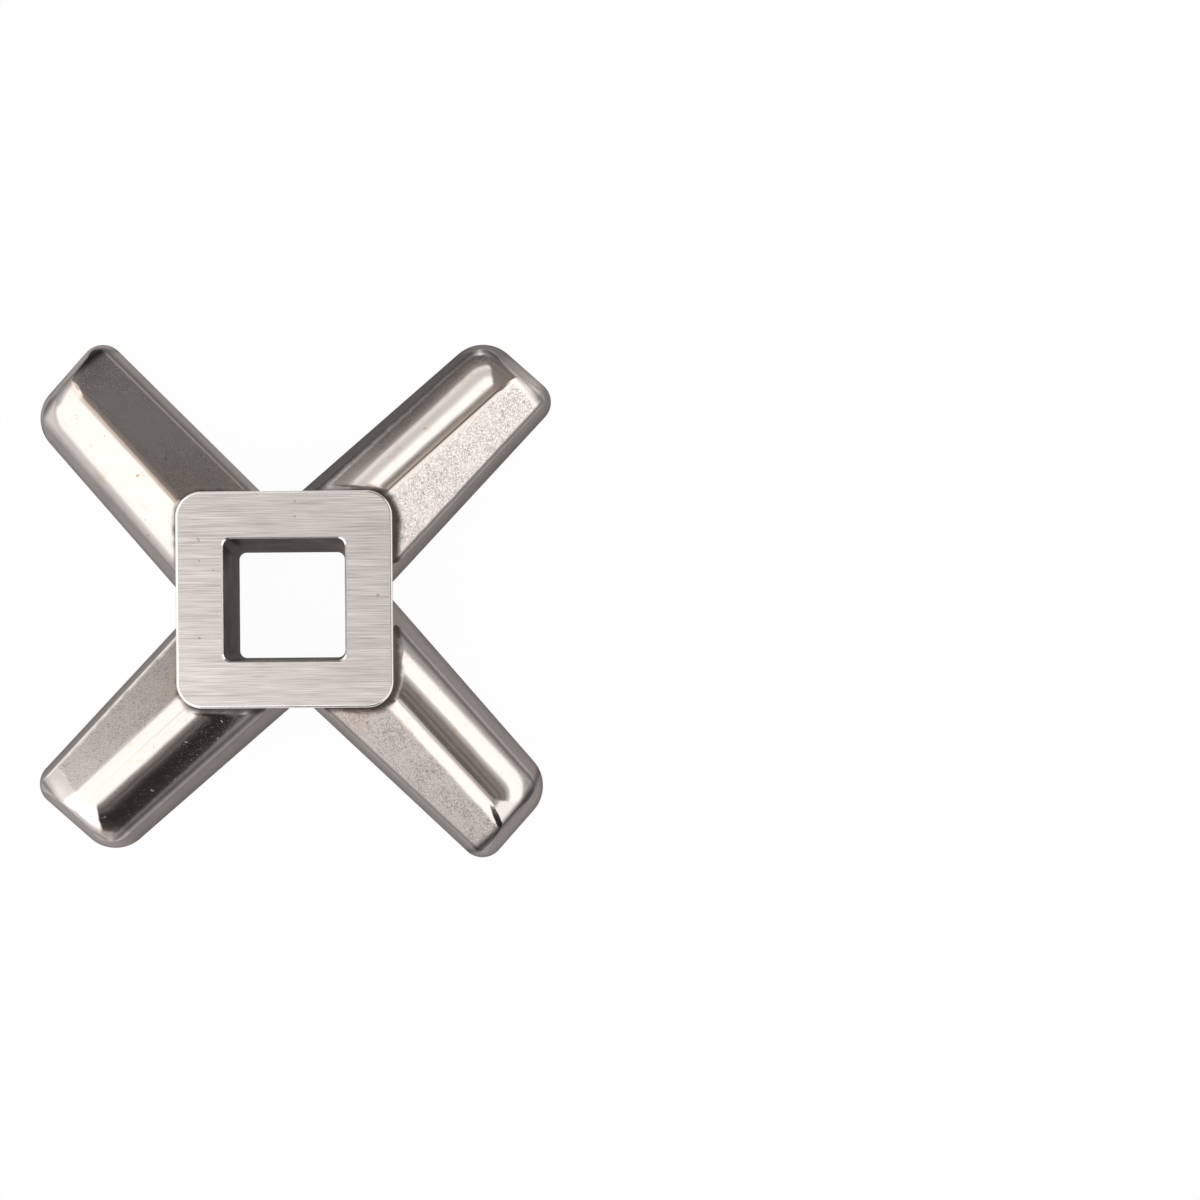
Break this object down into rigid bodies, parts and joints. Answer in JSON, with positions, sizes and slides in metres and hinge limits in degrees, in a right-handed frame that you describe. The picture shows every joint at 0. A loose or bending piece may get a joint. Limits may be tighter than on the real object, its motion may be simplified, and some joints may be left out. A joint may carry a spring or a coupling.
{
  "type": "meat grinder knife",
  "caption": "Cross-shaped cast steel knife for a meat grinder, with crested blades round a raised square hub and a tapered square drive hole.",
  "frame": {"origin": "centre of the square drive hole at the flat cutting face, within 0.3 mm of the middle of the bounding box's base because the blades differ a little", "axes": "+Z along the drive hole's axis, from the cutting face towards the hub's raised face; the hub's sides face +X and +Y and the blades lie halfway between"},
  "size_m": [0.0509, 0.051, 0.0125],
  "materials": {
    "cast_steel": "cast and ground stainless steel: brushed hub face, polished flanks, pitted facets"
  },
  "bodies": {
    "root": {"grinder_knife": "cast_steel"}
  },
  "joints": []
}
